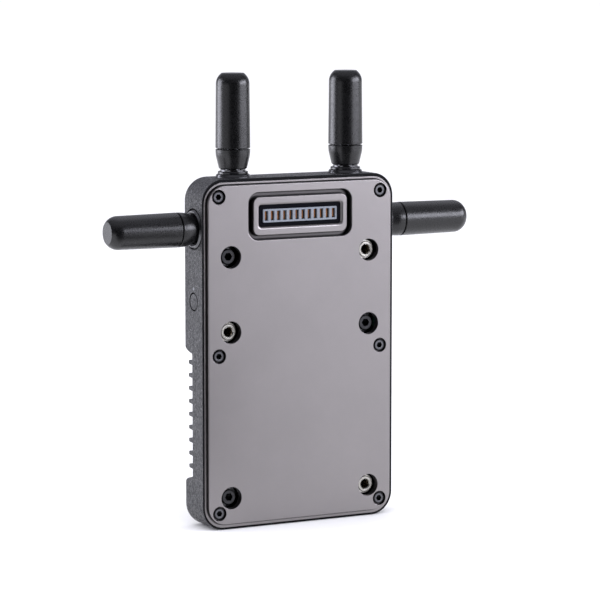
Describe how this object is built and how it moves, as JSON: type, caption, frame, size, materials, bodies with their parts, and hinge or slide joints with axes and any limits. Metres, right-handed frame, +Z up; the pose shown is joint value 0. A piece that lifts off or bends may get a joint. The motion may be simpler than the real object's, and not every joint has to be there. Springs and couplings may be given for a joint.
{
  "type": "wireless receiver module",
  "caption": "Flat wireless receiver module with screw-on stub antennas, a contact connector and screw bushes in its metal front, a side button and cooling ribs at the rear.",
  "frame": {"origin": "middle of the body's bottom edge, halfway through its depth", "axes": "+X to the right seen from the front, +Y to the rear, +Z up; the contact face looks along -Y"},
  "size_m": [0.1458, 0.0176, 0.1651],
  "materials": {
    "housing_cast": "fine-textured near-black coating on die-cast metal",
    "cover_plate": "satin warm grey anodised plate",
    "black_rubber": "matt",
    "black_screw": "black oxide",
    "bush_steel": "turned, bright",
    "sheet_steel": "stamped",
    "board_laminate": "solder resist",
    "chip_resin": "moulded",
    "pad_silicone": "soft",
    "ferrite": "sintered",
    "contact_plastic": "moulded, pale blue-grey",
    "contact_alloy": "plated",
    "black_plastic": "moulded",
    "button_plastic": "fine texture",
    "led_resin": "clear",
    "light_guide": "translucent",
    "white_insulator": "smooth",
    "jack_black": "black plated",
    "bezel_metal": "satin",
    "coax_jacket": "smooth",
    "antenna_collar": "satin black",
    "antenna_sleeve": "satin black, fine texture"
  },
  "bodies": {
    "receiver_body": {"rear_housing": "housing_cast", "front_cover": "cover_plate", "cover_gasket": "black_rubber", "rim_seal": "black_rubber", "cover_screws": "black_screw", "frame_screws": "black_screw", "mounting_bushes": "bush_steel", "inner_frame": "jack_black", "main_board": "board_laminate", "board_screws": "bush_steel", "processor": "chip_resin", "memory_chips": "chip_resin", "radio_chips": "chip_resin", "thermal_pads": "pad_silicone", "shield_cans": "sheet_steel", "power_inductors": "ferrite", "contact_block": "contact_plastic", "contact_strips": "contact_alloy", "connector_base": "black_plastic", "switch_body": "black_plastic", "status_led": "led_resin", "light_pipe": "light_guide", "jack_insulators": "white_insulator", "jack_contacts": "contact_alloy", "jack_washers": "bush_steel", "jack_nuts": "contact_alloy", "antenna_jacks": "jack_black", "jack_seals": "black_rubber", "port_bezels": "bezel_metal", "coax_sockets": "contact_alloy", "coax_plugs": "contact_alloy", "coax_lead_top_left": "coax_jacket", "coax_lead_top_right": "coax_jacket", "coax_lead_side_left": "coax_jacket", "coax_lead_side_right": "coax_jacket"},
    "pairing_button": {"button_cap": "button_plastic", "switch_plunger": "black_plastic"},
    "antenna_top_left": {"antenna_top_left_sleeve": "antenna_sleeve", "antenna_top_left_ferrule": "jack_black", "antenna_top_left_insulator": "white_insulator", "antenna_top_left_radiator": "contact_alloy"},
    "collar_top_left": {"antenna_top_left_collar": "antenna_collar"},
    "antenna_top_right": {"antenna_top_right_sleeve": "antenna_sleeve", "antenna_top_right_ferrule": "jack_black", "antenna_top_right_insulator": "white_insulator", "antenna_top_right_radiator": "contact_alloy"},
    "collar_top_right": {"antenna_top_right_collar": "antenna_collar"},
    "antenna_side_left": {"antenna_side_left_sleeve": "antenna_sleeve", "antenna_side_left_ferrule": "jack_black", "antenna_side_left_insulator": "white_insulator", "antenna_side_left_radiator": "contact_alloy"},
    "collar_side_left": {"antenna_side_left_collar": "antenna_collar"},
    "antenna_side_right": {"antenna_side_right_sleeve": "antenna_sleeve", "antenna_side_right_ferrule": "jack_black", "antenna_side_right_insulator": "white_insulator", "antenna_side_right_radiator": "contact_alloy"},
    "collar_side_right": {"antenna_side_right_collar": "antenna_collar"}
  },
  "joints": [
    {"name": "pairing_button_press", "type": "slide", "parent": "receiver_body", "child": "pairing_button", "axis": [1, 0, 0], "range_m": [0, 0.0004], "stiffness_N_per_m": 3000},
    {"name": "antenna_top_left_travel", "type": "slide", "parent": "receiver_body", "child": "antenna_top_left", "axis": [0, 0, 1], "range_m": [0, 0.00424]},
    {"name": "collar_top_left_turn", "type": "hinge", "parent": "antenna_top_left", "child": "collar_top_left", "pos_m": [-0.0231, -0.00015, 0.1276], "axis": [0, 0, 1], "range_deg": [0, 2160]},
    {"name": "antenna_top_right_travel", "type": "slide", "parent": "receiver_body", "child": "antenna_top_right", "axis": [0, 0, 1], "range_m": [0, 0.00424]},
    {"name": "collar_top_right_turn", "type": "hinge", "parent": "antenna_top_right", "child": "collar_top_right", "pos_m": [0.0231, -0.00015, 0.1276], "axis": [0, 0, 1], "range_deg": [0, 2160]},
    {"name": "antenna_side_left_travel", "type": "slide", "parent": "receiver_body", "child": "antenna_side_left", "axis": [-1, 0, 0], "range_m": [0, 0.00424]},
    {"name": "collar_side_left_turn", "type": "hinge", "parent": "antenna_side_left", "child": "collar_side_left", "pos_m": [-0.0354, -0.00015, 0.1094], "axis": [-1, 0, 0], "range_deg": [0, 2160]},
    {"name": "antenna_side_right_travel", "type": "slide", "parent": "receiver_body", "child": "antenna_side_right", "axis": [1, 0, 0], "range_m": [0, 0.00424]},
    {"name": "collar_side_right_turn", "type": "hinge", "parent": "antenna_side_right", "child": "collar_side_right", "pos_m": [0.0354, -0.00015, 0.1094], "axis": [1, 0, 0], "range_deg": [0, 2160]}
  ],
  "couplings": [
    {"joint": "antenna_top_left_travel", "follows": "collar_top_left_turn", "m_per_rad": 0.00011229},
    {"joint": "antenna_top_right_travel", "follows": "collar_top_right_turn", "m_per_rad": 0.00011229},
    {"joint": "antenna_side_left_travel", "follows": "collar_side_left_turn", "m_per_rad": 0.00011229},
    {"joint": "antenna_side_right_travel", "follows": "collar_side_right_turn", "m_per_rad": 0.00011229}
  ]
}
